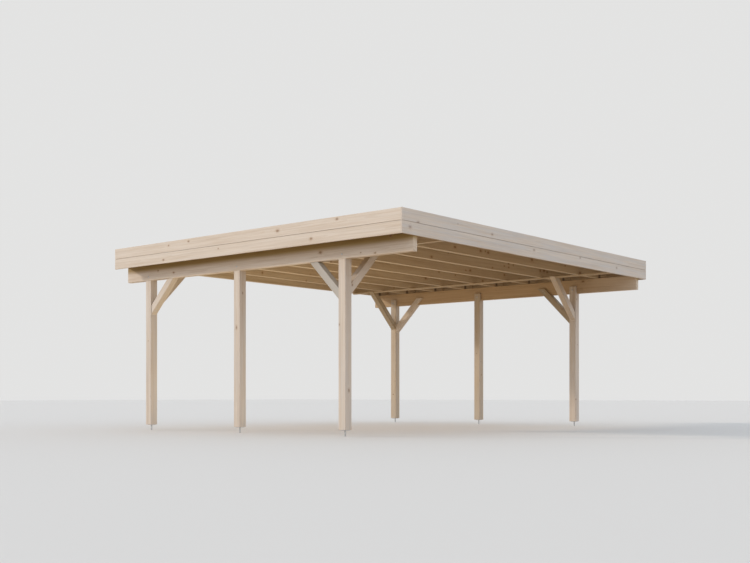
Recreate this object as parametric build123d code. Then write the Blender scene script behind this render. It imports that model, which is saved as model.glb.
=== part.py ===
from build123d import *
import os

# Timber double carport with a flat roof, standing on six pins set in the ground.
# Lengths are in millimetres. X runs across the drive-in bay, Y from the front to the
# rear, and Z up from the ground. The origin is under the middle of the roof's outline.

# Overall roof outline
roof_width = 6210.0
roof_depth = 5353.0

# Posts: a square section, three on each side, the middle one halfway between the others
post_side = 115.0
side_overhang = 231.0
front_overhang = 1120.0
rear_overhang = 477.0

# Beams, one along each post row, seated on the outer part of the post heads
beam_bottom = 2160.0
beam_height = 222.0
beam_width = 70.0
tongue_height = 115.0

# Feet: a pin under a plate, with a blade let into the post
ground_clearance = 79.0
pin_diameter = 20.0
foot_plate_side = 80.0
foot_plate_thickness = 6.0
blade_width = 70.0
blade_height = 115.0
blade_thickness = 6.0
blade_slot_clearance = 0.5

# Braces: a square section, set in the middle of the posts' faces
brace_side = 95.0
beam_brace_reach = 490.0
beam_brace_lap = 115.0
rafter_brace_reach = 656.0

# Rafters across the bay, and the battens under them that hold the brace heads
rafter_count = 9
rafter_width = 60.0
rafter_height = 160.0
batten_width = 60.0
batten_thickness = 20.0
batten_notch_clearance = 0.5

# Steel angles that fasten the rafters to the beams
angle_width = 60.0
angle_height = 85.0
angle_reach = 65.0
angle_thickness = 3.0
angle_bend = 3.0

# Roof skin and edge boards
deck_thickness = 19.0
membrane_thickness = 1.5
membrane_upturn = 55.0
fascia_thickness = 20.0
fascia_board_height = 145.0
fascia_seam = 3.0
fascia_drop = 43.0

# Worked edges
timber_chamfer = 4.0
board_chamfer = 3.0

# Heights worked out from the sizes above
rafter_bottom = beam_bottom + beam_height
rafter_top = rafter_bottom + rafter_height
deck_top = rafter_top + deck_thickness
batten_bottom = rafter_bottom - batten_thickness
fascia_bottom = rafter_bottom - fascia_drop
lower_board_top = fascia_bottom + fascia_board_height
upper_board_low = lower_board_top + fascia_seam
upper_board_top = upper_board_low + fascia_board_height

# Places worked out from the sizes above
roof_front = -roof_depth / 2
roof_rear = roof_depth / 2
frame_front = roof_front + fascia_thickness
frame_rear = roof_rear - fascia_thickness
frame_half_width = roof_width / 2 - fascia_thickness
post_x = roof_width / 2 - side_overhang - post_side / 2
front_post_y = roof_front + front_overhang
rear_post_y = roof_rear - rear_overhang
post_y = {"front": front_post_y, "middle": (front_post_y + rear_post_y) / 2, "rear": rear_post_y}
brace_rise = brace_side * 2**0.5
batten_x = post_x - post_side / 2 - rafter_brace_reach + brace_rise / 2
rafter_pitch = (frame_rear - frame_front - rafter_width) / (rafter_count - 1)
sides = {"left": -1, "right": 1}

os.makedirs("parts", exist_ok=True)


def block(x_range, y_range, z_range):
    """A rectangular solid between two corners, given as three pairs of limits."""
    size = [high - low for low, high in (x_range, y_range, z_range)]
    middle = [(high + low) / 2 for low, high in (x_range, y_range, z_range)]
    return Pos(*middle) * Box(*size)


def timber(x_range, y_range, z_range, along):
    """A planed timber whose four long edges are chamfered."""
    solid = block(x_range, y_range, z_range)
    return chamfer(solid.edges().filter_by(along), timber_chamfer)


def span(a, b):
    """The two limits in rising order."""
    return (min(a, b), max(a, b))


def save(name, solid):
    """Writes one piece under its own name."""
    export_step(solid, f"parts/{name}.step")


def beam_faces(side):
    """The outer and inner X of a beam: the outer face is flush with the posts."""
    outer = side * (post_x + post_side / 2)
    inner = outer - side * beam_width
    return outer, inner


def beam_space(side, y_range):
    """The room that the beam takes above its seats, over a length of the row."""
    return block(span(*beam_faces(side)), y_range, (beam_bottom, rafter_bottom))


def post(side, y):
    """A square post whose head is cut back on the outside for the beam to sit on."""
    x = side * post_x
    half = post_side / 2
    y_range = (y - half, y + half)
    head = beam_bottom + tongue_height
    body = timber((x - half, x + half), y_range, (ground_clearance, head), Axis.Z)
    slot_half = blade_thickness / 2 + blade_slot_clearance
    slot_side = blade_width / 2 + blade_slot_clearance
    slot_top = ground_clearance + blade_height + blade_slot_clearance
    slot = block(
        (x - slot_side, x + slot_side), (y - slot_half, y + slot_half), (ground_clearance, slot_top)
    )
    return body - beam_space(side, y_range) - slot


def foot(side, y):
    """A steel foot: the pin in the ground, the plate under the post and the blade in it."""
    x = side * post_x
    plate_bottom = ground_clearance - foot_plate_thickness
    pin = Pos(x, y, plate_bottom / 2) * Cylinder(pin_diameter / 2, plate_bottom)
    half = foot_plate_side / 2
    plate = block((x - half, x + half), (y - half, y + half), (plate_bottom, ground_clearance))
    blade = block(
        (x - blade_width / 2, x + blade_width / 2),
        (y - blade_thickness / 2, y + blade_thickness / 2),
        (ground_clearance, ground_clearance + blade_height),
    )
    return pin + plate + blade


def beam(side):
    """A beam over one post row, from behind the front edge board to the roof's rear face."""
    x_range = span(*beam_faces(side))
    return timber(x_range, (frame_front, roof_rear), (beam_bottom, rafter_bottom), Axis.Y)


def brace_blank(plane, foot_low, head):
    """A 45 degree timber from a post's face, at the plane's origin, up to a level head cut."""
    reach = head - foot_low
    outline = Polyline(
        (0, foot_low),
        (0, foot_low + brace_rise),
        (reach - brace_rise, head),
        (reach, head),
        close=True,
    )
    blank = extrude(plane * make_face(outline), amount=brace_side / 2, both=True)
    along = Axis(plane.origin, plane.x_dir + plane.y_dir)
    return chamfer(blank.edges().filter_by(along), timber_chamfer)


def beam_brace(side, y, inward):
    """A brace from a post to its beam: half seated under it and half lapped up its inner face."""
    start = y + inward * post_side / 2
    plane = Plane((side * post_x, start, 0), x_dir=(0, inward, 0), z_dir=(inward, 0, 0))
    head = beam_bottom + beam_brace_lap
    blank = brace_blank(plane, beam_bottom - beam_brace_reach, head)
    y_range = span(start, start + inward * (beam_brace_reach + beam_brace_lap))
    return blank - beam_space(side, y_range)


def batten_range(side, clearance=0.0):
    """The X limits of a batten, centred on the heads of the rafter braces."""
    half = batten_width / 2 + clearance
    return (side * batten_x - half, side * batten_x + half)


def rafter_brace(side, y):
    """A brace from a post across the bay, with the batten let into its head."""
    start = side * (post_x - post_side / 2)
    plane = Plane((start, y, 0), x_dir=(-side, 0, 0), z_dir=(0, side, 0))
    blank = brace_blank(plane, rafter_bottom - rafter_brace_reach, rafter_bottom)
    notch = block(
        batten_range(side, batten_notch_clearance),
        (y - brace_side / 2, y + brace_side / 2),
        (batten_bottom, rafter_bottom),
    )
    return blank - notch


def batten(side):
    """A flat batten under the rafters that ties them and holds the brace heads."""
    return block(batten_range(side), (frame_front, frame_rear), (batten_bottom, rafter_bottom))


def rafter_face(index):
    """The Y of a rafter's front face, counted from the front."""
    return frame_front + index * rafter_pitch


def rafter(index):
    """One rafter, from edge board to edge board."""
    y = rafter_face(index)
    x_range = (-frame_half_width, frame_half_width)
    return timber(x_range, (y, y + rafter_width), (rafter_bottom, rafter_top), Axis.X)


def rafter_angle(side, index):
    """A bent steel angle on the beam's top and a rafter's front face, or its rear at the front."""
    outer, inner = beam_faces(side)
    at_front = index == 0
    face = rafter_face(index) + (rafter_width if at_front else 0)
    away = 1 if at_front else -1
    outline = Polyline(
        (0, 0),
        (angle_reach, 0),
        (angle_reach, angle_thickness),
        (angle_thickness, angle_thickness),
        (angle_thickness, angle_height),
        (0, angle_height),
        close=True,
    )
    plane = Plane(
        ((outer + inner) / 2, face, rafter_bottom), x_dir=(0, away, 0), z_dir=(away, 0, 0)
    )
    angle = extrude(plane * make_face(outline), amount=angle_width / 2, both=True)
    heel = angle.edges().filter_by(Axis.X).filter_by(
        lambda edge: abs(edge.center().Y - face) < 0.1 and edge.center().Z < rafter_bottom + 0.1
    )
    return chamfer(heel, angle_bend * 0.6)


def roof_deck():
    """The boarding over the rafters, as one plain slab."""
    return block(
        (-frame_half_width, frame_half_width), (frame_front, frame_rear), (rafter_top, deck_top)
    )


def roof_membrane():
    """The roof sheet: flat on the boarding and turned up inside the edge boards."""
    outer = block(
        (-frame_half_width, frame_half_width),
        (frame_front, frame_rear),
        (deck_top, deck_top + membrane_upturn),
    )
    inner = block(
        (-frame_half_width + membrane_thickness, frame_half_width - membrane_thickness),
        (frame_front + membrane_thickness, frame_rear - membrane_thickness),
        (deck_top + membrane_thickness, deck_top + membrane_upturn),
    )
    return outer - inner


def side_board(side, low, high):
    """One edge board on a long side, between the front and rear boards."""
    outer = side * roof_width / 2
    x_range = span(outer, outer - side * fascia_thickness)
    board = block(x_range, (frame_front, frame_rear), (low, high))
    edges = board.edges().filter_by(Axis.Y).group_by(Axis.X)[0 if side < 0 else -1]
    return chamfer(edges, board_chamfer)


def end_board(end, low, high):
    """One edge board on the front or the rear, covering the ends of the side boards."""
    outer = end * roof_depth / 2
    y_range = span(outer, outer - end * fascia_thickness)
    half = roof_width / 2
    board = block((-half, half), y_range, (low, high))
    edges = board.edges().filter_by(Axis.X).group_by(Axis.Y)[0 if end < 0 else -1]
    return chamfer(edges, board_chamfer)


# The frame
for side_name, side in sides.items():
    for row_name, y in post_y.items():
        save(f"post_{row_name}_{side_name}", post(side, y))
        save(f"foot_{row_name}_{side_name}", foot(side, y))
    save(f"beam_{side_name}", beam(side))
    save(f"batten_{side_name}", batten(side))
    for row_name, inward in (("front", 1), ("rear", -1)):
        y = post_y[row_name]
        save(f"beam_brace_{row_name}_{side_name}", beam_brace(side, y, inward))
        save(f"rafter_brace_{row_name}_{side_name}", rafter_brace(side, y))
    angles = [rafter_angle(side, index) for index in range(rafter_count)]
    save(f"rafter_angles_{side_name}", Compound(children=angles))

# The roof
for index in range(rafter_count):
    save(f"rafter_{index + 1}", rafter(index))
save("roof_deck", roof_deck())
save("roof_membrane", roof_membrane())

# The edge boards: on the rear the lower one stops level with the rafters and the beams
for side_name, side in sides.items():
    save(f"fascia_lower_{side_name}", side_board(side, fascia_bottom, lower_board_top))
    save(f"fascia_upper_{side_name}", side_board(side, upper_board_low, upper_board_top))
for end_name, end, low in (("front", -1, fascia_bottom), ("rear", 1, rafter_bottom)):
    save(f"fascia_lower_{end_name}", end_board(end, low, lower_board_top))
    save(f"fascia_upper_{end_name}", end_board(end, upper_board_low, upper_board_top))
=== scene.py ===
import bpy
import bmesh
import math
import random
from mathutils import Matrix, Vector


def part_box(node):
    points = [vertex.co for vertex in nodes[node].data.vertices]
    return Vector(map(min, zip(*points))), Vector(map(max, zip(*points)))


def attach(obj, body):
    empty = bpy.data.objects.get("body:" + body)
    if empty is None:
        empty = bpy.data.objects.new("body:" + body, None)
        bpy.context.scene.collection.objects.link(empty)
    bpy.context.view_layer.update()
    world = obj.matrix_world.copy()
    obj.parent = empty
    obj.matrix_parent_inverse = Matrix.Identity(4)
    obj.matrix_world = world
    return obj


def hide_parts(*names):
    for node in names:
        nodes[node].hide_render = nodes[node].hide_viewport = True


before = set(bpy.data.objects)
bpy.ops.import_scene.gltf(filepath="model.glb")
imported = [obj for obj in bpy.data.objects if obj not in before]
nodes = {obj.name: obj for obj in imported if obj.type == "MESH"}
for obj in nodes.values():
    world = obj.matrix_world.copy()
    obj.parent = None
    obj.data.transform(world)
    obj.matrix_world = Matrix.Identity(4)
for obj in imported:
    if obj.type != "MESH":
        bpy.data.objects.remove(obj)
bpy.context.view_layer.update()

# the photograph's frame in pixels, and the place it was taken from
photo = {"width": 750, "height": 563, "focalPixels": 1043.8, "horizonRow": 395.8}
cameraPlace = {"place": (-12.3414, -10.0253, 0.4945), "yaw": 39.995, "sensor": 36.0, "clipEnd": 300}


def linkNew(name, data):
    made = bpy.data.objects.new(name, data)
    bpy.context.scene.collection.objects.link(made)
    return made


def makeCamera():
    data = bpy.data.cameras.new("photoCamera")
    data.sensor_width = cameraPlace["sensor"]
    data.lens = cameraPlace["sensor"] * photo["focalPixels"] / photo["width"]
    data.shift_y = (photo["horizonRow"] - photo["height"] / 2) / photo["width"]
    data.clip_end = cameraPlace["clipEnd"]
    camera = linkNew("photoCamera", data)
    camera.location = cameraPlace["place"]
    camera.rotation_euler = (math.radians(90), 0, math.radians(cameraPlace["yaw"] - 90))
    bpy.context.scene.camera = camera


makeCamera()
print("camera made")


# small helpers for node trees: a value is a socket to link or a number to set
def addNode(tree, kind, **settings):
    node = tree.nodes.new(kind)
    for key, value in settings.items():
        setattr(node, key, value)
    return node


def feed(tree, socket, value):
    if isinstance(value, bpy.types.NodeSocket):
        tree.links.new(value, socket)
    else:
        socket.default_value = value


def feedAll(tree, node, values):
    for label, value in values.items():
        feed(tree, node.inputs[label], value)


def calc(tree, operation, *values, clamp=False):
    node = addNode(tree, "ShaderNodeMath", operation=operation, use_clamp=clamp)
    for socket, value in zip(node.inputs, values):
        feed(tree, socket, value)
    return node.outputs[0]


def vectorCalc(tree, operation, *values):
    node = addNode(tree, "ShaderNodeVectorMath", operation=operation)
    for socket, value in zip(node.inputs, values):
        feed(tree, socket, value)
    return node.outputs["Value" if operation in ("LENGTH", "DOT_PRODUCT") else "Vector"]


def split(tree, value, kind="XYZ"):
    node = addNode(tree, "ShaderNodeSeparate" + kind)
    feed(tree, node.inputs[0], value)
    return node.outputs


# a smooth change between two results while the value goes from low to high
def fade(tree, value, fromLow, fromHigh, toLow=0.0, toHigh=1.0):
    node = addNode(tree, "ShaderNodeMapRange", interpolation_type="SMOOTHSTEP")
    feedAll(tree, node, {
        "Value": value, "From Min": fromLow, "From Max": fromHigh, "To Min": toLow, "To Max": toHigh,
    })
    return node.outputs["Result"]


def mixColour(tree, factor, first, second, blend="MIX"):
    node = addNode(tree, "ShaderNodeMix", data_type="RGBA", blend_type=blend)
    feed(tree, node.inputs[0], factor)
    feed(tree, node.inputs[6], first)  # the node's colour sockets are its seventh and eighth
    feed(tree, node.inputs[7], second)
    return node.outputs[2]


# noise with its own stretch along X, Y and Z
def noise(tree, vector, seed, stretch, detail=2.0, roughness=0.5):
    node = addNode(tree, "ShaderNodeTexNoise", noise_dimensions="4D")
    feedAll(tree, node, {
        "Vector": vectorCalc(tree, "MULTIPLY", vector, stretch), "W": seed,
        "Scale": 1.0, "Detail": detail, "Roughness": roughness,
    })
    return node.outputs[0]


def relief(tree, height, strength, distance):
    bump = addNode(tree, "ShaderNodeBump")
    feedAll(tree, bump, {"Strength": strength, "Distance": distance, "Height": height})
    return bump.outputs["Normal"]


socketKinds = {"number": "NodeSocketFloat", "vector": "NodeSocketVector", "colour": "NodeSocketColor"}


def newGroup(name, inputs, outputs):
    tree = bpy.data.node_groups.new(name, "ShaderNodeTree")
    for label, kind, *value in inputs:
        socket = tree.interface.new_socket(name=label, in_out="INPUT", socket_type=socketKinds[kind])
        if value:
            socket.default_value = value[0]
    for label, kind in outputs:
        tree.interface.new_socket(name=label, in_out="OUTPUT", socket_type=socketKinds[kind])
    return tree, tree.nodes.new("NodeGroupInput").outputs, tree.nodes.new("NodeGroupOutput").inputs


def placeGroup(tree, group, values):
    node = addNode(tree, "ShaderNodeGroup", node_tree=group)
    feedAll(tree, node, values)
    return node.outputs


def newMaterial(name):
    material = bpy.data.materials.new(name)
    material.use_nodes = True
    tree = material.node_tree
    return material, tree, tree.nodes["Principled BSDF"]


# the place on the piece
def placeOn(tree):
    return addNode(tree, "ShaderNodeTexCoord").outputs["Object"]


# how far a place is from the pith, which runs along X
def fromPith(tree, grain):
    return vectorCalc(tree, "LENGTH", vectorCalc(tree, "MULTIPLY", grain, (0, 1, 1)))


# branches in the log: rows round it, the smallest knot as a part of the largest, the reading that
# stands for no knot, and how a seen knot is squeezed along the grain
branches = {"rows": 3, "smallest": 0.45, "none": 50.0, "alongGrain": 0.6}


# where the knots are: the distance from a branch that runs outwards from the pith, in knot radii
def makeKnotField():
    tree, given, out = newGroup(
        "knotField",
        [
            ("Grain", "vector"), ("Seed", "number", 0.0), ("Spacing", "number", 0.4),
            ("Radius", "number", 0.012), ("Share", "number", 0.7),
        ],
        [("Knot", "number")],
    )
    parts = split(tree, given["Grain"])
    angle = calc(tree, "ARCTAN2", parts["Z"], parts["Y"])
    turns = branches["rows"] / math.tau
    along = calc(tree, "ADD", calc(tree, "DIVIDE", parts["X"], given["Spacing"]), given["Seed"])
    around = calc(tree, "MULTIPLY_ADD", angle, turns, given["Seed"])
    flat = addNode(tree, "ShaderNodeCombineXYZ")
    feedAll(tree, flat, {"X": along, "Y": around})
    cells = addNode(tree, "ShaderNodeTexVoronoi", voronoi_dimensions="2D", feature="F1")
    feedAll(tree, cells, {"Vector": flat.outputs[0], "Scale": 1.0})
    place = split(tree, cells.outputs["Position"])
    chance = split(tree, cells.outputs["Color"], "Color")
    offAlong = calc(tree, "MULTIPLY", calc(tree, "SUBTRACT", along, place["X"]), given["Spacing"])
    offAround = calc(tree, "MULTIPLY", calc(tree, "SUBTRACT", around, place["Y"]), 1 / turns)
    offAround = calc(tree, "MULTIPLY", offAround, fromPith(tree, given["Grain"]))
    squares = calc(tree, "MULTIPLY", offAround, offAround)
    squares = calc(tree, "ADD", calc(tree, "POWER", offAlong, 2.0), squares)
    size = fade(tree, chance[0], 0.0, 1.0, branches["smallest"], 1.0)
    knot = calc(tree, "DIVIDE", calc(tree, "SQRT", squares), calc(tree, "MULTIPLY", given["Radius"], size))
    missing = calc(tree, "MULTIPLY", calc(tree, "GREATER_THAN", chance[1], given["Share"]), branches["none"])
    feed(tree, out["Knot"], calc(tree, "ADD", knot, missing))
    return tree


# the look of planed softwood, in metres and knot radii: a noise is (stretch, detail, roughness), and a
# fade is (from, to, result at the first, result at the second)
spruceLook = {
    "yearWidth": 0.0043, "summer": (0.35, 0.97),
    "yearNoise": ((150, 150, 150), 1.0), "yearStrength": (0.3, 0.7, 0.35, 1.0),
    "wobbleNoise": ((0.9, 7.0, 7.0), 3.0, 0.55), "wobble": 0.022,
    "raggedNoise": ((35, 80, 80), 2.0), "raggedPart": 0.8, "raggedLeast": 0.6,
    "swirl": (0.8, 4.5, 0.011, 0.0),
    "fibreNoise": ((11, 520, 520), 2.0, 0.6), "fibrePart": 0.30,
    "broadNoise": ((0.7, 18, 18), 2.0),
    "streakNoise": ((1.3, 62, 62), 3.0), "streakPart": 1.5,
    "endGrain": (0.8, 0.95), "endPart": 0.35, "warmLeast": 0.18,
    "halo": (0.9, 2.6, 0.5, 0.0), "haloColour": (0.40, 0.25, 0.13, 1),
    "heart": (0.6, 1.15, 0.72, 0.0), "core": (0.2, 0.95),
    "coreColour": (0.25, 0.13, 0.06, 1), "rimColour": (0.13, 0.065, 0.03, 1),
    "roughness": 0.66, "ringRoughness": -0.10, "fibreRoughness": 0.10,
    "ringHeight": 0.5, "fibreHeight": 0.6, "knotHeight": 0.5, "relief": (0.35, 0.0006),
}


def centred(tree, value):
    return calc(tree, "SUBTRACT", value, 0.5)


# planed softwood: year rings round the pith, fibres, broad streaks, and knots with their swirl
def makeSpruce():
    look = spruceLook
    tree, given, out = newGroup(
        "spruce",
        [
            ("Grain", "vector"), ("Seed", "number", 0.0), ("Spacing", "number", 0.5),
            ("Radius", "number", 0.011), ("Share", "number", 0.4),
            ("Seen Knot", "number", branches["none"]), ("Pale", "colour", (0.66, 0.56, 0.46, 1)),
            ("Warm", "colour", (0.5, 0.38, 0.26, 1)), ("Rings", "number", 0.5),
            ("Streaks", "number", 0.5), ("End", "number", 0.0),
        ],
        [("Color", "colour"), ("Roughness", "number"), ("Normal", "vector")],
    )
    grain = given["Grain"]
    seed = given["Seed"]
    passedOn = {label: given[label] for label in ("Grain", "Seed", "Spacing", "Radius", "Share")}
    grown = placeGroup(tree, knotField, passedOn)["Knot"]
    ragged = noise(tree, grain, seed, *look["raggedNoise"])
    ragged = calc(tree, "MULTIPLY_ADD", ragged, look["raggedPart"], look["raggedLeast"])
    knot = calc(tree, "MULTIPLY", calc(tree, "MINIMUM", grown, given["Seen Knot"]), ragged)
    wobble = noise(tree, grain, seed, *look["wobbleNoise"])
    wobble = calc(tree, "MULTIPLY_ADD", wobble, look["wobble"], -look["wobble"] / 2)
    swirl = fade(tree, knot, *look["swirl"])
    years = calc(tree, "ADD", calc(tree, "ADD", fromPith(tree, grain), wobble), swirl)
    summer = fade(tree, calc(tree, "FRACT", calc(tree, "DIVIDE", years, look["yearWidth"])), *look["summer"])
    strength = fade(tree, noise(tree, years, seed, *look["yearNoise"]), *look["yearStrength"])
    ring = calc(tree, "MULTIPLY", summer, strength)
    fibre = noise(tree, grain, seed, *look["fibreNoise"])
    broad = noise(tree, grain, seed, *look["broadNoise"])
    streak = noise(tree, grain, seed, *look["streakNoise"])
    streak = calc(tree, "MULTIPLY", centred(tree, streak), look["streakPart"])
    # how warm the wood is: rings, broad and fine streaks, fibres and end grain add up
    amount = calc(tree, "MULTIPLY", ring, given["Rings"])
    amount = calc(tree, "MULTIPLY_ADD", centred(tree, broad), given["Streaks"], amount)
    amount = calc(tree, "MULTIPLY_ADD", streak, given["Streaks"], amount)
    amount = calc(tree, "MULTIPLY_ADD", centred(tree, fibre), look["fibrePart"], amount)
    amount = calc(tree, "ADD", amount, calc(tree, "MULTIPLY", given["End"], look["endPart"]))
    amount = calc(tree, "ADD", amount, look["warmLeast"], clamp=True)
    colour = mixColour(tree, amount, given["Pale"], given["Warm"])
    colour = mixColour(tree, fade(tree, knot, *look["halo"]), colour, look["haloColour"])
    heart = fade(tree, knot, *look["heart"])
    core = mixColour(tree, fade(tree, knot, *look["core"]), look["coreColour"], look["rimColour"])
    feed(tree, out["Color"], mixColour(tree, heart, colour, core))
    dull = calc(tree, "MULTIPLY_ADD", ring, look["ringRoughness"], look["roughness"])
    feed(tree, out["Roughness"], calc(tree, "MULTIPLY_ADD", fibre, look["fibreRoughness"], dull))
    height = calc(tree, "MULTIPLY", ring, look["ringHeight"])
    height = calc(tree, "MULTIPLY_ADD", fibre, look["fibreHeight"], height)
    height = calc(tree, "MULTIPLY_ADD", heart, look["knotHeight"], height)
    feed(tree, out["Normal"], relief(tree, height, *look["relief"]))
    return tree


# how far a place is from one knot that the photograph shows, in knot radii, or the last such reading
# where that is nearer
def makeSeenKnot():
    tree, given, out = newGroup(
        "seenKnot",
        [
            ("Place", "vector"), ("Middle", "vector"), ("Squeeze", "vector"),
            ("Radius", "number", 0.012), ("Last", "number", branches["none"]),
        ],
        [("Knot", "number")],
    )
    off = vectorCalc(tree, "SUBTRACT", given["Place"], given["Middle"])
    away = vectorCalc(tree, "LENGTH", vectorCalc(tree, "MULTIPLY", off, given["Squeeze"]))
    away = calc(tree, "DIVIDE", away, given["Radius"])
    feed(tree, out["Knot"], calc(tree, "MINIMUM", away, given["Last"]))
    return tree


# white where a face cuts across the grain
def makeEndGrain():
    tree, given, out = newGroup(
        "endGrain", [("Normal", "vector"), ("Along", "vector")], [("Mask", "number")]
    )
    facing = calc(tree, "ABSOLUTE", vectorCalc(tree, "DOT_PRODUCT", given["Normal"], given["Along"]))
    feed(tree, out["Mask"], fade(tree, facing, *spruceLook["endGrain"]))
    return tree


# fades for the painted shade: on the faces that look inwards, in the painted shadow band under a beam's
# top, and its fading out behind a beam's front end; farOff is a place that no fade reaches
paintedShadeLook = {
    "inside": (0.3, 0.8), "band": (0.045, 0.12, 1.0, 0.0), "frontEnd": (0.0, 1.35, 0.9, 0.0),
    "farOff": 99.0,
}


# painted shade: the inner faces of beams and edge boards are darker and warmer, and a beam also has a
# painted shadow band outside along its top; inside, a beam's painted shade fades to its open colour
# towards its front end, where more light reaches
def makePaintedShelterShade():
    tree, given, out = newGroup(
        "paintedShelterShade",
        [
            ("Place", "vector"), ("Normal", "vector"), ("Inward", "vector"),
            ("Top", "number", paintedShadeLook["farOff"]), ("Front", "number", -paintedShadeLook["farOff"]),
            ("Open", "colour"), ("Shaded", "colour"), ("Band Shadow", "colour"),
        ],
        [("Color", "colour")],
    )
    parts = split(tree, given["Place"])
    facing = vectorCalc(tree, "DOT_PRODUCT", given["Normal"], given["Inward"])
    inside = fade(tree, facing, *paintedShadeLook["inside"])
    # the painted shadow band under a beam's top, on its outer faces
    band = fade(tree, calc(tree, "SUBTRACT", given["Top"], parts["Z"]), *paintedShadeLook["band"])
    band = calc(tree, "MULTIPLY", band, calc(tree, "SUBTRACT", 1.0, inside))
    # less painted shade towards a beam's front end, where more light reaches
    frontEnd = fade(tree, calc(tree, "SUBTRACT", parts["Y"], given["Front"]), *paintedShadeLook["frontEnd"])
    shadeMask = calc(tree, "MULTIPLY", inside, calc(tree, "SUBTRACT", 1.0, frontEnd))
    colour = mixColour(tree, shadeMask, given["Open"], given["Shaded"])
    feed(tree, out["Color"], mixColour(tree, band, colour, given["Band Shadow"]))
    return tree


# grey streaks that the weather leaves along a board, and how much of them each kind of timber has;
# the front boards' heavier streaking also paints the cooler, greyer shade of the front face
greyingAndShade = {
    "noise": (5.0, (1.6, 30, 30), 3.0, 0.6), "streaks": (0.38, 0.66, 0.25, 1.0),
    "colour": (0.50, 0.505, 0.51, 1),
    # the front boards' share is partly weathering and partly painted shade of the front face
    "amounts": {"post": 0.3, "brace": 0.2, "frontBoard": 0.5, "board": 0.1},
}


def makeWeatheringAndShade():
    tree, given, out = newGroup(
        "weatheringAndShade",
        [("Grain", "vector"), ("Amount", "number", 0.3), ("Color", "colour")],
        [("Color", "colour")],
    )
    cloud = noise(tree, given["Grain"], *greyingAndShade["noise"])
    mask = calc(tree, "MULTIPLY", fade(tree, cloud, *greyingAndShade["streaks"]), given["Amount"])
    feed(tree, out["Color"], mixColour(tree, mask, given["Color"], greyingAndShade["colour"]))
    return tree


knotField = makeKnotField()
spruce = makeSpruce()
seenKnot = makeSeenKnot()
endGrain = makeEndGrain()
paintedShelterShade = makePaintedShelterShade()
weatheringAndShade = makeWeatheringAndShade()


def woodTone(pale, warm, rings, streaks):
    return {"Pale": (*pale, 1), "Warm": (*warm, 1), "Rings": rings, "Streaks": streaks}


# linear colours: timber in the open air, and the warmer, darker timber under the roof, partly its own
# colour and partly painted shade with the warm light thrown up under the roof; the last two are
# painted-shade tones for single frame timbers
woodTones = {
    "frame_timber": woodTone((0.665, 0.570, 0.465), (0.500, 0.385, 0.270), 0.45, 1.0),
    "fascia_timber": woodTone((0.665, 0.575, 0.475), (0.520, 0.405, 0.290), 0.40, 1.1),
    "roof_timber": woodTone((0.570, 0.465, 0.330), (0.425, 0.310, 0.188), 0.50, 1.1),
    "grey_shaded_timber": woodTone((0.465, 0.430, 0.370), (0.350, 0.290, 0.215), 0.45, 1.0),
    "deep_shaded_timber": woodTone((0.450, 0.355, 0.225), (0.335, 0.235, 0.130), 0.45, 1.0),
}
# painted shade: a beam's darker, warmer inner face, and the painted shadow band outside under its top
paintedInsideShade = {"Pale": (0.54, 0.39, 0.23, 1), "Warm": (0.40, 0.26, 0.14, 1)}
paintedBandShadow = {"Pale": (0.37, 0.26, 0.10, 1), "Warm": (0.30, 0.19, 0.06, 1)}
# frame timbers that the photograph shows in another tone, as painted shade: one darker and greyer in
# the shade of the beam above, those deep under the roof darker and warmer
shadedTones = {
    "beam_brace_front_left": "grey_shaded_timber", "beam_brace_front_right": "deep_shaded_timber",
    "rafter_brace_rear_right": "deep_shaded_timber", "post_middle_right": "roof_timber",
    "post_rear_right": "roof_timber",
}

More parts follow.
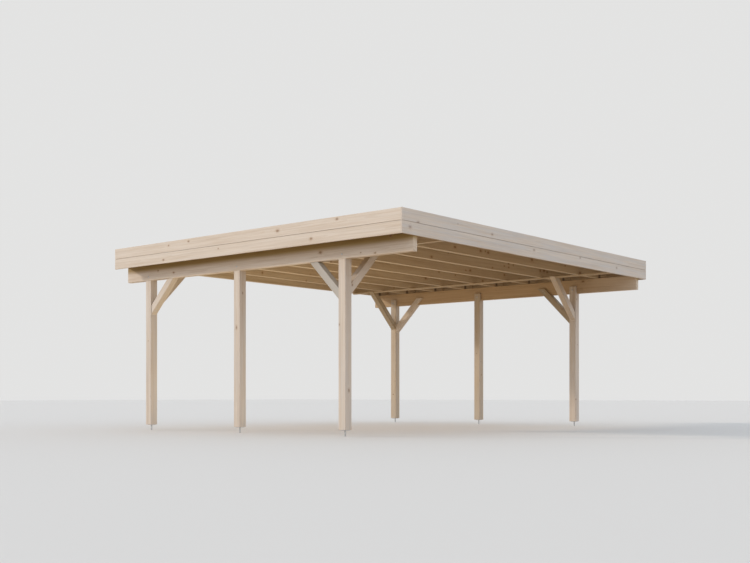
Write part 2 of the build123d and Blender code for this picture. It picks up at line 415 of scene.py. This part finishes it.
# knots that the photograph shows, on a timber's face across X or across Y: the place sideways, the
# height and the radius
seenKnots = {
    "fascia_upper_left": {"x": [
        (-0.680, 2.562, 0.014), (-1.684, 2.600, 0.011), (1.031, 2.592, 0.010), (1.455, 2.574, 0.008),
    ]},
    "fascia_lower_left": {"x": [(-1.258, 2.408, 0.012), (1.569, 2.386, 0.011), (0.430, 2.440, 0.006)]},
    "fascia_upper_front": {"y": [(-1.275, 2.537, 0.012), (-2.806, 2.494, 0.011), (-2.02, 2.575, 0.006)]},
    "fascia_lower_front": {"y": [
        (-2.960, 2.424, 0.013), (-0.270, 2.447, 0.012), (0.984, 2.467, 0.010), (2.104, 2.428, 0.012),
    ]},
    "beam_left": {"x": [
        (-1.200, 2.268, 0.014), (-2.084, 2.186, 0.008), (1.979, 2.288, 0.009),
        (1.630, 2.235, 0.010), (-1.86, 2.21, 0.005), (-2.32, 2.366, 0.013),
    ]},
    "beam_right": {"x": [(-1.725, 2.349, 0.014)]},
    "beam_brace_front_right": {"x": [(-1.360, 1.920, 0.012)]},
    "rafter_brace_front_left": {"y": [(-2.737, 1.850, 0.012)]},
    "post_front_left": {"x": [(-1.515, 1.364, 0.008)], "y": [(-2.810, 0.559, 0.011)]},
    "post_middle_left": {"x": [(0.326, 1.404, 0.012)], "y": [(-2.821, 1.864, 0.008)]},
    # on rafters 2 and 3, the spots at about 2.1 to 2.3 across are dark spots drawn with a knot's look
    "rafter_2": {"y": [
        (0.786, 2.477, 0.018), (-1.136, 2.454, 0.016), (-0.538, 2.465, 0.015),
        (-0.355, 2.462, 0.015), (1.744, 2.482, 0.010), (2.207, 2.413, 0.018),
    ]},
    "rafter_3": {"y": [
        (2.224, 2.500, 0.020), (2.11, 2.487, 0.016), (2.32, 2.487, 0.014), (1.185, 2.512, 0.012),
        (1.185, 2.454, 0.012), (1.065, 2.466, 0.010), (0.738, 2.408, 0.010), (-0.776, 2.415, 0.014),
    ]},
    "rafter_4": {"y": [
        (1.104, 2.450, 0.015), (0.984, 2.445, 0.010), (2.542, 2.424, 0.016), (2.079, 2.468, 0.012),
    ]},
    "rafter_5": {"y": [(2.423, 2.445, 0.015), (1.620, 2.476, 0.009), (1.174, 2.484, 0.010)]},
    "rafter_6": {"y": [(1.688, 2.480, 0.018)]},
}


# the nearest seen knot: each runs into the timber from its face and is longer along the grain
def nearestSeenKnot(tree, name, where, along):
    nearest = branches["none"]
    for face, knots in seenKnots.get(name, {}).items():
        squeeze = [branches["alongGrain"] if abs(part) == 1 else 1.0 for part in along]
        squeeze["xy".index(face)] = 0.0
        for sideways, up, radius in knots:
            nearest = placeGroup(tree, seenKnot, {
                "Place": where, "Middle": (0, sideways, up) if face == "x" else (sideways, 0, up),
                "Squeeze": squeeze, "Radius": radius, "Last": nearest,
            })["Knot"]
    return nearest


# one timber's material: its painted-shade setting says which way is inwards, and where a beam's top
# and front end are
def timberMaterial(name, slot, along, pith, seed, knots, weatherAndShade, paintedShade):
    tone = woodTones[shadedTones.get(name, slot)]
    material, tree, shader = newMaterial(name)
    where = placeOn(tree)
    normal = addNode(tree, "ShaderNodeNewGeometry").outputs["Normal"]
    # the texture mapping turns the grain's direction to X and puts the pith at the middle
    turn = addNode(tree, "ShaderNodeMapping", vector_type="TEXTURE")
    rotation = Vector((1, 0, 0)).rotation_difference(Vector(along)).to_euler()
    feedAll(tree, turn, {"Vector": where, "Location": pith, "Rotation": rotation})
    grain = turn.outputs[0]
    values = {"Grain": grain, "Seed": seed, **knots, **tone}
    values["Seen Knot"] = nearestSeenKnot(tree, name, where, along)
    values["End"] = placeGroup(tree, endGrain, {"Normal": normal, "Along": along})["Mask"]
    if paintedShade:
        # painted shade: inner faces darker and warmer, and on a beam a painted shadow band under its top
        shadedTone = paintedInsideShade if name.startswith("beam") else woodTones["roof_timber"]
        for label in ("Pale", "Warm"):
            shades = {"Open": tone[label], "Shaded": shadedTone[label], "Band Shadow": paintedBandShadow[label]}
            both = placeGroup(tree, paintedShelterShade, {"Place": where, "Normal": normal, **paintedShade, **shades})
            values[label] = both["Color"]
    wood = placeGroup(tree, spruce, values)
    colour = wood["Color"]
    if weatherAndShade:
        colour = placeGroup(tree, weatheringAndShade, {"Grain": grain, "Amount": weatherAndShade, "Color": colour})["Color"]
    feedAll(tree, shader, {"Base Color": colour, "Roughness": wood["Roughness"], "Normal": wood["Normal"]})
    return material


def dress(name, material):
    node = nodes[name]
    node.data.materials.clear()
    node.data.materials.append(material)


# each timber is sawn beside the heart of its log: how far off its middle the pith lies, along X, Y and Z
pithOffsets = {
    "post": 0.05, "brace": (0.05, 0.03), "beam": (0.11, 0, -0.04), "batten": (0.05, 0, -0.05),
    "rafter": (0, -0.10, 0.03), "board": (0.10, 0.10, 0.01),
}
timberKnots = {
    "post": {"Spacing": 0.55, "Radius": 0.010, "Share": 0.35},
    "brace": {"Spacing": 0.5, "Radius": 0.010, "Share": 0.3},
    "beam": {"Spacing": 0.5, "Radius": 0.012, "Share": 0.45},
    "batten": {"Spacing": 0.5, "Radius": 0.008, "Share": 0.4},
    "rafter": {"Spacing": 0.5, "Radius": 0.015, "Share": 0.55},
    "board": {"Spacing": 0.6, "Radius": 0.012, "Share": 0.4},
}
# the share of other knots on a timber whose seen knots are listed
otherKnots = {"post": 0.15, "brace": 0.1, "beam": 0.0, "rafter": 0.2, "board": 0.0}
# the seed of the draws for the posts' pith, and the step from one timber's pattern to the next
timberSeeds = {"pith": 11, "step": 3.71}


# what sets one timber apart: its kind, slot, grain, pith beside its middle, and its painted-shade
# setting if it has any
def readTimber(name, low, high):
    side = -1 if "left" in name else 1
    end = -1 if "front" in name else 1
    if name.startswith("post"):
        reach = pithOffsets["post"]
        offset = (random.uniform(-reach, reach), random.uniform(-reach, reach), 0)
        return "post", "frame_timber", (0, 0, 1), offset, None
    if "_brace_" in name:
        aside, up = pithOffsets["brace"]
        toBeam = name.startswith("beam")
        along = Vector((0, -end, 1) if toBeam else (-side, 0, 1)).normalized()
        return "brace", "frame_timber", along, (aside, 0, up) if toBeam else (0, aside, up), None
    if name.startswith("beam"):
        x, y, z = pithOffsets["beam"]
        # painted shade on the beam's inner face, and a painted shadow band outside under its top
        paintedShade = {"Inward": (-side, 0, 0), "Top": high.z, "Front": low.y}
        return "beam", "frame_timber", (0, 1, 0), (-side * x, y, z), paintedShade
    if name.startswith("batten"):
        return "batten", "roof_timber", (0, 1, 0), pithOffsets["batten"], None
    if name.startswith("fascia"):
        x, y, z = pithOffsets["board"]
        # painted shade on an edge board's inner face
        if name.endswith("left") or name.endswith("right"):
            return "board", "fascia_timber", (0, 1, 0), (-side * x, 0, z), {"Inward": (-side, 0, 0)}
        kind = "frontBoard" if end < 0 else "board"
        return kind, "fascia_timber", (1, 0, 0), (0, -end * y, z), {"Inward": (0, -end, 0)}
    return "rafter", "roof_timber", (1, 0, 0), pithOffsets["rafter"], None


def dressTimbers():
    random.seed(timberSeeds["pith"])
    for number, name in enumerate(sorted(nodes), start=1):
        if name.startswith(("foot", "roof", "rafter_angles")):
            continue
        low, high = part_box(name)
        kind, slot, along, offset, paintedShade = readTimber(name, low, high)
        stock = "board" if kind == "frontBoard" else kind
        knots = dict(timberKnots[stock])
        if name in seenKnots:
            knots["Share"] = otherKnots[stock]
        pith = (low + high) / 2 + Vector(offset)
        seed = number * timberSeeds["step"]
        weatherAndShade = greyingAndShade["amounts"].get(kind, 0.0)
        dress(name, timberMaterial(name, slot, along, pith, seed, knots, weatherAndShade, paintedShade))


dressTimbers()
print("timbers dressed")


# zinc on steel: crystals to the metre, dull patches, grime as (seed, stretch, detail, roughness), relief
zincLook = {
    "crystals": 90.0, "grime": (0.0, (40, 40, 40), 3.0, 0.6), "worn": (0.45, 0.75),
    "roughness": (0.2, 0.8, 0.38, 0.62), "relief": (0.2, 0.0003),
}
# the zinc of the feet and fastenings is bright; the angles' dark brown coat is painted shade and a
# painted dark reflection of the shaded timber round them under the roof
zincFinishesAndShade = {
    "zinc_steel": {"metallic": 0.9, "coat": {}},
    # painted shade and painted dark reflection on the angles
    "angle_steel": {
        "metallic": 0.1,
        "coat": {
            "Bright": (0.26, 0.19, 0.13, 1), "Crystal": (0.21, 0.15, 0.10, 1),
            "Dull": (0.15, 0.10, 0.065, 1), "Wear": 0.8,
        },
    },
}


def makeZincCoat():
    tree, given, out = newGroup(
        "zincCoat",
        [
            ("Place", "vector"), ("Bright", "colour", (0.60, 0.61, 0.62, 1)),
            ("Crystal", "colour", (0.50, 0.51, 0.52, 1)), ("Dull", "colour", (0.30, 0.29, 0.27, 1)),
            ("Wear", "number", 0.5),
        ],
        [("Color", "colour"), ("Roughness", "number"), ("Normal", "vector")],
    )
    flakes = addNode(tree, "ShaderNodeTexVoronoi", feature="F1")
    feedAll(tree, flakes, {"Vector": given["Place"], "Scale": zincLook["crystals"]})
    tint = split(tree, flakes.outputs["Color"], "Color")
    grime = noise(tree, given["Place"], *zincLook["grime"])
    colour = mixColour(tree, tint[0], given["Crystal"], given["Bright"])
    worn = calc(tree, "MULTIPLY", fade(tree, grime, *zincLook["worn"]), given["Wear"])
    feed(tree, out["Color"], mixColour(tree, worn, colour, given["Dull"]))
    feed(tree, out["Roughness"], fade(tree, grime, *zincLook["roughness"]))
    feed(tree, out["Normal"], relief(tree, grime, *zincLook["relief"]))
    return tree


def steelMaterial(name):
    finishAndShade = zincFinishesAndShade[name]
    material, tree, shader = newMaterial(name)
    zinc = placeGroup(tree, zincCoat, {"Place": placeOn(tree), **finishAndShade["coat"]})
    feedAll(tree, shader, {
        "Metallic": finishAndShade["metallic"], "Base Color": zinc["Color"], "Roughness": zinc["Roughness"],
        "Normal": zinc["Normal"],
    })
    return material


# a matt roof sheet with dust, creases and pores: a noise is (seed, stretch, detail, roughness)
sheetLook = {
    "dust": (2.0, (1.3, 1.3, 1.3), 5.0, 0.6), "creases": (7.0, (0.5, 3.0, 3.0), 3.0, 0.5),
    "pores": (4.0, (260, 260, 260), 2.0), "poreHeight": 0.04, "relief": (0.4, 0.004),
    "dusty": (0.35, 0.75), "cleanColour": (0.030, 0.031, 0.033, 1), "dustColour": (0.085, 0.083, 0.078, 1),
    "roughness": (0.3, 0.7, 0.86, 0.96), "shine": 0.2,
}


def makeRoofSheet():
    look = sheetLook
    material, tree, shader = newMaterial("roof_sheet")
    where = placeOn(tree)
    dust = noise(tree, where, *look["dust"])
    creases = noise(tree, where, *look["creases"])
    pores = noise(tree, where, *look["pores"])
    height = calc(tree, "MULTIPLY_ADD", pores, look["poreHeight"], creases)
    dusty = fade(tree, dust, *look["dusty"])
    feedAll(tree, shader, {
        "Base Color": mixColour(tree, dusty, look["cleanColour"], look["dustColour"]),
        "Roughness": fade(tree, dust, *look["roughness"]),
        "Specular IOR Level": look["shine"],
        "Normal": relief(tree, height, *look["relief"]),
    })
    return material


zincCoat = makeZincCoat()
zincSteel = steelMaterial("zinc_steel")
angleSteel = steelMaterial("angle_steel")
for name in nodes:
    if name.startswith("foot"):
        dress(name, zincSteel)
    elif name.startswith("rafter_angles"):
        dress(name, angleSteel)
dress("roof_membrane", makeRoofSheet())
print("steel and roof sheet dressed")


near = 0.00001  # places closer than this are the same


def boxAt(mesh, size, middle):
    made = bmesh.ops.create_cube(mesh, size=1)["verts"]
    bmesh.ops.scale(mesh, vec=size, verts=made)
    bmesh.ops.translate(mesh, vec=middle, verts=made)


def runsAlong(edge, axis):
    first, second = edge.verts
    return abs(first.co[axis] - second.co[axis]) > near


def breakEdges(mesh, edges, width, segments):
    return bmesh.ops.bevel(
        mesh, geom=edges, offset=width, segments=segments, profile=0.5, affect="EDGES", material=-1
    )["verts"]


def finishPiece(name, mesh, material, replaced=()):
    bmesh.ops.recalc_face_normals(mesh, faces=mesh.faces)
    data = bpy.data.meshes.new(name)
    mesh.to_mesh(data)
    mesh.free()
    piece = linkNew(name, data)
    data.materials.append(material)
    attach(piece, "root")
    if replaced:
        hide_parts(*replaced)


# the roof's boarding as it shows from below: narrow boards with a V joint, laid across the rafters
roofBoards = {
    "cover": 0.121, "joint": 0.0032, "gap": 0.0008, "pithAbove": 0.06, "shift": 0.06, "stretch": 23.0,
    "darkest": (0.86, 0.84, 0.82, 1), "lightest": (1.0, 1.0, 1.0, 1),
    "knots": {"Spacing": 0.55, "Radius": 0.011, "Share": 0.5},
}


# one material for all the boards: each board reads its own stretch of wood and has its own tone
def boardMaterial(name, start, pitch, top):
    kit = roofBoards
    material, tree, shader = newMaterial(name)
    parts = split(tree, placeOn(tree))
    number = calc(tree, "FLOOR", calc(tree, "DIVIDE", calc(tree, "SUBTRACT", parts["X"], start), pitch))
    draw = addNode(tree, "ShaderNodeTexWhiteNoise", noise_dimensions="1D")
    feed(tree, draw.inputs["W"], number)
    chance = draw.outputs[0]
    middle = calc(tree, "MULTIPLY_ADD", calc(tree, "ADD", number, 0.5), pitch, start)
    shift = calc(tree, "MULTIPLY_ADD", chance, kit["shift"], -kit["shift"] / 2)
    grain = addNode(tree, "ShaderNodeCombineXYZ")
    feedAll(tree, grain, {
        "X": calc(tree, "MULTIPLY_ADD", chance, kit["stretch"], parts["Y"]),
        "Y": calc(tree, "ADD", calc(tree, "SUBTRACT", parts["X"], middle), shift),
        "Z": calc(tree, "SUBTRACT", parts["Z"], top + kit["pithAbove"]),
    })
    wood = placeGroup(tree, spruce, {"Grain": grain.outputs[0], **kit["knots"], **woodTones["roof_timber"]})
    shade = mixColour(tree, chance, kit["darkest"], kit["lightest"])
    colour = mixColour(tree, 1.0, wood["Color"], shade, "MULTIPLY")
    feedAll(tree, shader, {"Base Color": colour, "Roughness": wood["Roughness"], "Normal": wood["Normal"]})
    return material


def makeRoofBoards():
    low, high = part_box("roof_deck")
    size = high - low
    middle = (low + high) / 2
    count = round(size.x / roofBoards["cover"])
    pitch = size.x / count
    mesh = bmesh.new()
    boxAt(mesh, (pitch - roofBoards["gap"], size.y, size.z), (low.x + pitch / 2, middle.y, middle.z))
    lower = [edge for edge in mesh.edges
             if runsAlong(edge, 1) and all(v.co.z < middle.z for v in edge.verts)]
    breakEdges(mesh, lower, roofBoards["joint"], 1)
    first = mesh.verts[:] + mesh.edges[:] + mesh.faces[:]
    for number in range(1, count):
        copy = bmesh.ops.duplicate(mesh, geom=first)["geom"]
        verts = [item for item in copy if isinstance(item, bmesh.types.BMVert)]
        bmesh.ops.translate(mesh, vec=(pitch * number, 0, 0), verts=verts)
    board = boardMaterial("roof_boards", low.x, pitch, high.z)
    finishPiece("roof_boards", mesh, board, ("roof_deck",))


# the edge boards at the rear corners: the side boards run on to the rear face, and the rear boards
# stand between them; the long edges of each outer face are broken
edgeBoards = {
    "courses": ("lower", "upper"), "sides": ("left", "right", "rear"), "edge": 0.003, "segments": 2,
}


def makeEdgeBoard(course, side, thickness):
    name = "fascia_" + course + "_" + side
    low, high = (Vector(corner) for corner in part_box(name))
    if side == "rear":
        low.x += thickness
        high.x -= thickness
    else:
        high.y += thickness
    mesh = bmesh.new()
    boxAt(mesh, high - low, (low + high) / 2)
    across, along = (1, 0) if side == "rear" else (0, 1)
    outer = low[across] if side == "left" else high[across]
    long = [edge for edge in mesh.edges
            if runsAlong(edge, along) and all(abs(v.co[across] - outer) < near for v in edge.verts)]
    breakEdges(mesh, long, edgeBoards["edge"], edgeBoards["segments"])
    material = nodes[name].data.materials[0]
    finishPiece("edge_board_" + course + "_" + side, mesh, material, (name,))


def makeEdgeBoards():
    low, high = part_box("fascia_upper_rear")
    for course in edgeBoards["courses"]:
        for side in edgeBoards["sides"]:
            makeEdgeBoard(course, side, high.y - low.y)


makeRoofBoards()
print("roof boards made")
makeEdgeBoards()
print("edge boards made")


# turns a half outline, as distances out from the Z axis and up it, into a round body
def spinOutline(mesh, outline, steps, closed=False):
    before = set(mesh.verts)
    verts = [mesh.verts.new((out, 0, up)) for out, up in outline]
    following = verts[1:] + verts[:1] if closed else verts[1:]
    edges = [mesh.edges.new(pair) for pair in zip(verts, following)]
    bmesh.ops.spin(
        mesh, geom=verts + edges, cent=(0, 0, 0), axis=(0, 0, 1), steps=steps, angle=math.tau, use_merge=True
    )
    return [v for v in mesh.verts if v not in before]


# puts new vertices, made round the Z axis, at a place with that axis turned outwards
def standAt(mesh, verts, place, outward):
    turn = Vector(outward).to_track_quat("Z", "Y").to_matrix().to_4x4()
    bmesh.ops.transform(mesh, matrix=Matrix.Translation(place) @ turn, verts=verts)


# half outlines of a round head, as parts of its radius and rise: from the rim to the crown, or from
# the rim into a hollow for the driver, whose widths are parts of the hollow's own
headShape = {
    "steps": 12, "rim": ((1.0, 0.0), (0.97, 0.35), (0.82, 0.72), (0.55, 0.93)),
    "crown": ((0.25, 1.0), (0.0, 1.0)), "hollow": ((1.0, 1.0), (0.85, 0.25), (0.0, 0.2)),
}


def roundHead(mesh, place, outward, radius, rise, hollow=0.0):
    if hollow:
        middle = tuple((hollow * part, up) for part, up in headShape["hollow"])
    else:
        middle = headShape["crown"]
    before = set(mesh.verts)
    outline = [(radius * out, rise * up) for out, up in headShape["rim"] + middle]
    bmesh.ops.remove_doubles(mesh, verts=spinOutline(mesh, outline, headShape["steps"]), dist=near)
    made = {v for v in mesh.verts if v not in before}
    bmesh.ops.holes_fill(mesh, edges=[e for e in mesh.edges if e.is_boundary and e.verts[0] in made])
    standAt(mesh, list(made), place, outward)


# a disc, or a nut if it has six sides, with its outer edge bevelled
def disc(mesh, place, outward, radius, height, sides, edge):
    made = bmesh.ops.create_cone(
        mesh, cap_ends=True, segments=sides, radius1=radius, radius2=radius, depth=height
    )["verts"]
    bmesh.ops.translate(mesh, vec=(0, 0, height / 2), verts=made)
    ring = set(made)
    rim = [e for e in mesh.edges if e.verts[0] in ring and all(v.co.z > height / 2 for v in e.verts)]
    fresh = breakEdges(mesh, rim, edge, 1)
    standAt(mesh, list({v for v in made if v.is_valid} | set(fresh)), place, outward)


# a bolt through each post's tongue and the beam, with a round head outside, as (radius, rise), and a
# washer, a nut and the thread's end inside, as (radius, height, sides, broken edge)
tongueBolts = {
    "head": (0.011, 0.0055), "washer": (0.0115, 0.002, 20, 0.0004), "nut": (0.0085, 0.008, 6, 0.0008),
    "thread": (0.005, 0.005, 12, 0.0008),
}


def makeTongueBolts():
    mesh = bmesh.new()
    for side, outwardX in (("left", -1), ("right", 1)):
        outward = Vector((outwardX, 0, 0))
        beamLow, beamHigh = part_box("beam_" + side)
        for row in ("front", "middle", "rear"):
            low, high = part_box("post_" + row + "_" + side)
            y = (low.y + high.y) / 2
            z = (beamLow.z + high.z) / 2  # half-way up the tongue
            outside, inside = (beamLow.x, high.x) if outwardX < 0 else (beamHigh.x, low.x)
            roundHead(mesh, (outside, y, z), outward, *tongueBolts["head"])
            place = Vector((inside, y, z))
            for part in ("washer", "nut", "thread"):
                disc(mesh, place, -outward, *tongueBolts[part])
                place -= outward * tongueBolts[part][1]  # the next one stands on this one
    finishPiece("tongue_bolts", mesh, zincSteel)


# screws up through the lower faces of the braces, and through the laps of the beam braces; a head is
# (radius, rise, part of it that is hollow)
braceScrews = {
    "head": (0.0075, 0.0032, 0.42), "apart": 0.022, "first": 0.075, "second": 0.125, "fromHead": 0.09,
    "lapHeights": (0.045, 0.075), "lapBack": 0.065,
}


def makeBraceScrews():
    mesh = bmesh.new()
    kit = braceScrews
    for name in sorted(nodes):
        if "_brace_" not in name:
            continue
        low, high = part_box(name)
        toBeam = name.startswith("beam")
        if toBeam:
            ahead = Vector((0, 1 if "front" in name else -1, 0))
            foot = Vector(((low.x + high.x) / 2, low.y if ahead.y > 0 else high.y, low.z))
        else:
            ahead = Vector((1 if "left" in name else -1, 0, 0))
            foot = Vector((low.x if ahead.x > 0 else high.x, (low.y + high.y) / 2, low.z))
        across = Vector((1, 0, 0)) if toBeam else Vector((0, 1, 0))
        along = (ahead + Vector((0, 0, 1))).normalized()
        outward = (ahead - Vector((0, 0, 1))).normalized()
        pairs = [kit["first"]]
        if not toBeam:
            pairs.append((high.z - low.z) * math.sqrt(2) - kit["fromHead"])
        roundHead(mesh, foot + along * kit["second"], outward, *kit["head"])
        for distance in pairs:
            for shift in (-kit["apart"], kit["apart"]):
                roundHead(mesh, foot + along * distance + across * shift, outward, *kit["head"])
        if toBeam:
            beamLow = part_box("beam_left" if "left" in name else "beam_right")[0]
            x, inward = (high.x, 1) if "left" in name else (low.x, -1)
            for up in kit["lapHeights"]:
                z = beamLow.z + up
                y = foot.y + ahead.y * (z - low.z - kit["lapBack"])
                roundHead(mesh, (x, y, z), (inward, 0, 0), *kit["head"])
    finishPiece("brace_screws", mesh, zincSteel)


# screws in the steel angles: places on the upright leg as (sideways, up) and on the level one as
# (sideways, away from the bend)
angleScrews = {
    "head": (0.005, 0.0026, 0.42), "plate": 0.003,
    "upright": ((-0.016, 0.030), (0.016, 0.045), (-0.016, 0.060), (0.016, 0.072)),
    "level": ((-0.016, 0.024), (0.016, 0.036), (-0.016, 0.050)),
}


def makeAngleScrews():
    mesh = bmesh.new()
    kit = angleScrews
    rafters = sorted(name for name in nodes if name.removeprefix("rafter_").isdigit())
    for side in ("left", "right"):
        beamLow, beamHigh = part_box("beam_" + side)
        x = (beamLow.x + beamHigh.x) / 2
        for name in rafters:
            low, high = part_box(name)
            away = 1 if name == rafters[0] else -1  # the front rafter has its angle behind it
            face = (high.y if away > 0 else low.y) + away * kit["plate"]
            for shift, up in kit["upright"]:
                roundHead(mesh, (x + shift, face, low.z + up), (0, away, 0), *kit["head"])
            for shift, out in kit["level"]:
                place = (x + shift, face + away * (out - kit["plate"]), low.z + kit["plate"])
                roundHead(mesh, place, (0, 0, 1), *kit["head"])
    finishPiece("angle_screws", mesh, angleSteel)


# a weld bead round each pin where it meets its plate: the half outline as distances out from the
# axis and up, with a little of it inside the plate and the pin
footWelds = {
    "plate": 0.006, "steps": 28,
    "outline": (
        (0.0095, 0.0005), (0.0155, 0.0), (0.0143, -0.0022), (0.0122, -0.0042), (0.0100, -0.0056),
        (0.0095, -0.0056),
    ),
}


def makeFootWelds():
    mesh = bmesh.new()
    for name in sorted(nodes):
        if not name.startswith("foot"):
            continue
        low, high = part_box(name)
        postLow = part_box(name.replace("foot", "post"))[0]
        made = spinOutline(mesh, footWelds["outline"], footWelds["steps"], closed=True)
        place = ((low.x + high.x) / 2, (low.y + high.y) / 2, postLow.z - footWelds["plate"])
        bmesh.ops.translate(mesh, vec=place, verts=made)
    finishPiece("foot_welds", mesh, zincSteel)


makeTongueBolts()
makeBraceScrews()
makeAngleScrews()
makeFootWelds()
print("fastenings made")


# plain studio: one soft key from the left and behind, a bright pale room, a pale floor, and a soft
# warm panel low under the roof, which lights its underside as light thrown up from a floor does
studio = {
    "keyFrom": (-0.50, 0.80, 0.36), "keyStrength": 1.60, "keySoftness": 5.0, "keyColour": (1.0, 0.88, 0.75),
    "fillPlace": (-1.2, 0.8, 0.02), "fillSize": (2.8, 3.2), "fillPower": 39, "fillColour": (1.0, 0.92, 0.70),
    "roomColour": (0.82, 0.89, 1.0, 1), "roomFade": (0.26, 0.77, 1.5, 0.72),
    "backdrop": (0.77, 0.77, 0.765, 1), "backdropStrength": 1.0,
    "floor": (0.72, 0.69, 0.64, 1), "floorBounce": (0.54, 0.405, 0.27, 1), "floorSize": 90,
    "floorRoughness": 0.9, "floorShine": 0.2,
}


def seenDirectly(tree):
    rays = addNode(tree, "ShaderNodeLightPath")
    direct = calc(tree, "ADD", rays.outputs["Is Camera Ray"], rays.outputs["Is Glossy Ray"])
    return calc(tree, "ADD", direct, rays.outputs["Is Transmission Ray"], clamp=True)


def addLamp(name, kind, strength, colour):
    light = bpy.data.lights.new(name, kind)
    light.energy = strength
    light.color = colour
    return linkNew(name, light)


def makeLamps():
    key = addLamp("key", "SUN", studio["keyStrength"], studio["keyColour"])
    key.data.angle = math.radians(studio["keySoftness"])
    key.rotation_euler = Vector(studio["keyFrom"]).to_track_quat("Z", "Y").to_euler()

    fill = addLamp("fill", "AREA", studio["fillPower"], studio["fillColour"])
    fill.data.shape = "RECTANGLE"
    fill.data.size, fill.data.size_y = studio["fillSize"]
    fill.location = studio["fillPlace"]
    fill.rotation_euler = (math.pi, 0, 0)
    fill.visible_camera = False


def makeFloor():
    mesh = bmesh.new()
    bmesh.ops.create_grid(mesh, x_segments=1, y_segments=1, size=studio["floorSize"])
    data = bpy.data.meshes.new("floor")
    mesh.to_mesh(data)
    mesh.free()
    floor = linkNew("floor", data)
    material, tree, shader = newMaterial("floor")
    feedAll(tree, shader, {
        "Base Color": mixColour(tree, seenDirectly(tree), studio["floorBounce"], studio["floor"]),
        "Roughness": studio["floorRoughness"], "Specular IOR Level": studio["floorShine"],
    })
    data.materials.append(material)


# the room is brighter near the floor's edge than overhead, and the camera sees a plain backdrop instead
def makeRoom():
    world = bpy.data.worlds.new("studio")
    bpy.context.scene.world = world
    world.use_nodes = True
    tree = world.node_tree
    height = split(tree, addNode(tree, "ShaderNodeTexCoord").outputs["Generated"])["Z"]
    room = tree.nodes["Background"]
    feedAll(tree, room, {"Color": studio["roomColour"], "Strength": fade(tree, height, *studio["roomFade"])})
    seen = addNode(tree, "ShaderNodeBackground")
    feedAll(tree, seen, {"Color": studio["backdrop"], "Strength": studio["backdropStrength"]})
    either = addNode(tree, "ShaderNodeMixShader")
    for socket, value in zip(either.inputs, (seenDirectly(tree), room.outputs[0], seen.outputs[0])):
        tree.links.new(value, socket)
    tree.links.new(either.outputs[0], tree.nodes["World Output"].inputs["Surface"])


makeLamps()
makeFloor()
makeRoom()
bpy.context.scene.view_settings.view_transform = "Standard"
print("studio made")
